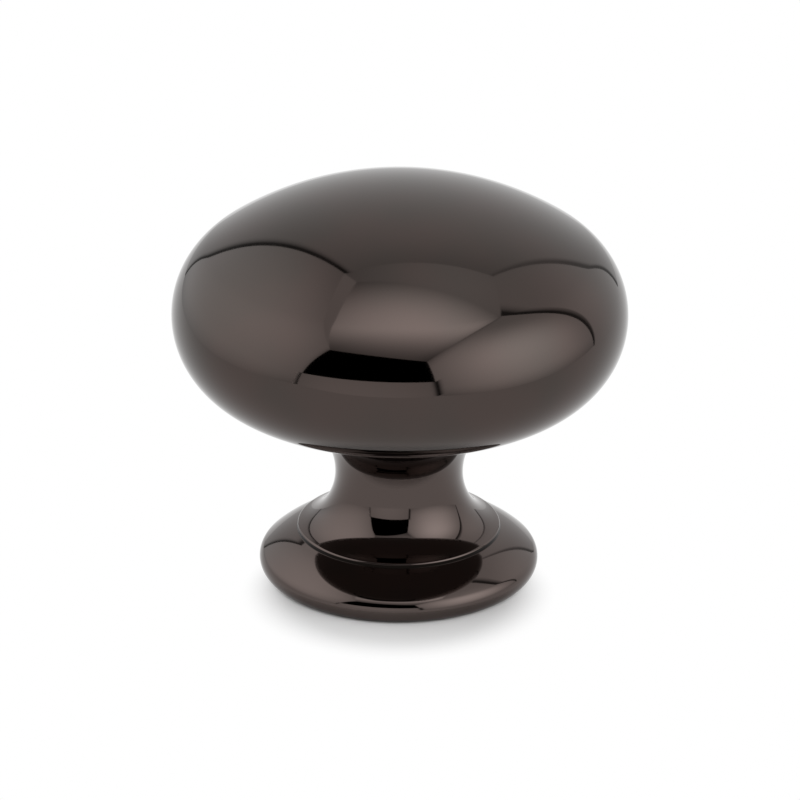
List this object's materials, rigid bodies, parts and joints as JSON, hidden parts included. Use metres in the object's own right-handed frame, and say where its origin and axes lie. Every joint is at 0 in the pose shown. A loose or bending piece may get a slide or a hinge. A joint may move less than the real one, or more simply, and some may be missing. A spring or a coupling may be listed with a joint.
{
  "type": "cabinet knob",
  "caption": "Mushroom cabinet knob turned in one piece: oval head, waisted neck, fine lip and round flange, with a tapped hole underneath.",
  "frame": {"origin": "centre of the flat underside, where the knob meets the drawer front", "axes": "+Z along the turning axis, out from the drawer front to the crown of the head"},
  "size_m": [0.032, 0.032, 0.0287],
  "materials": {
    "black_nickel": "polished"
  },
  "bodies": {
    "root": {"knob": "black_nickel"}
  },
  "joints": []
}
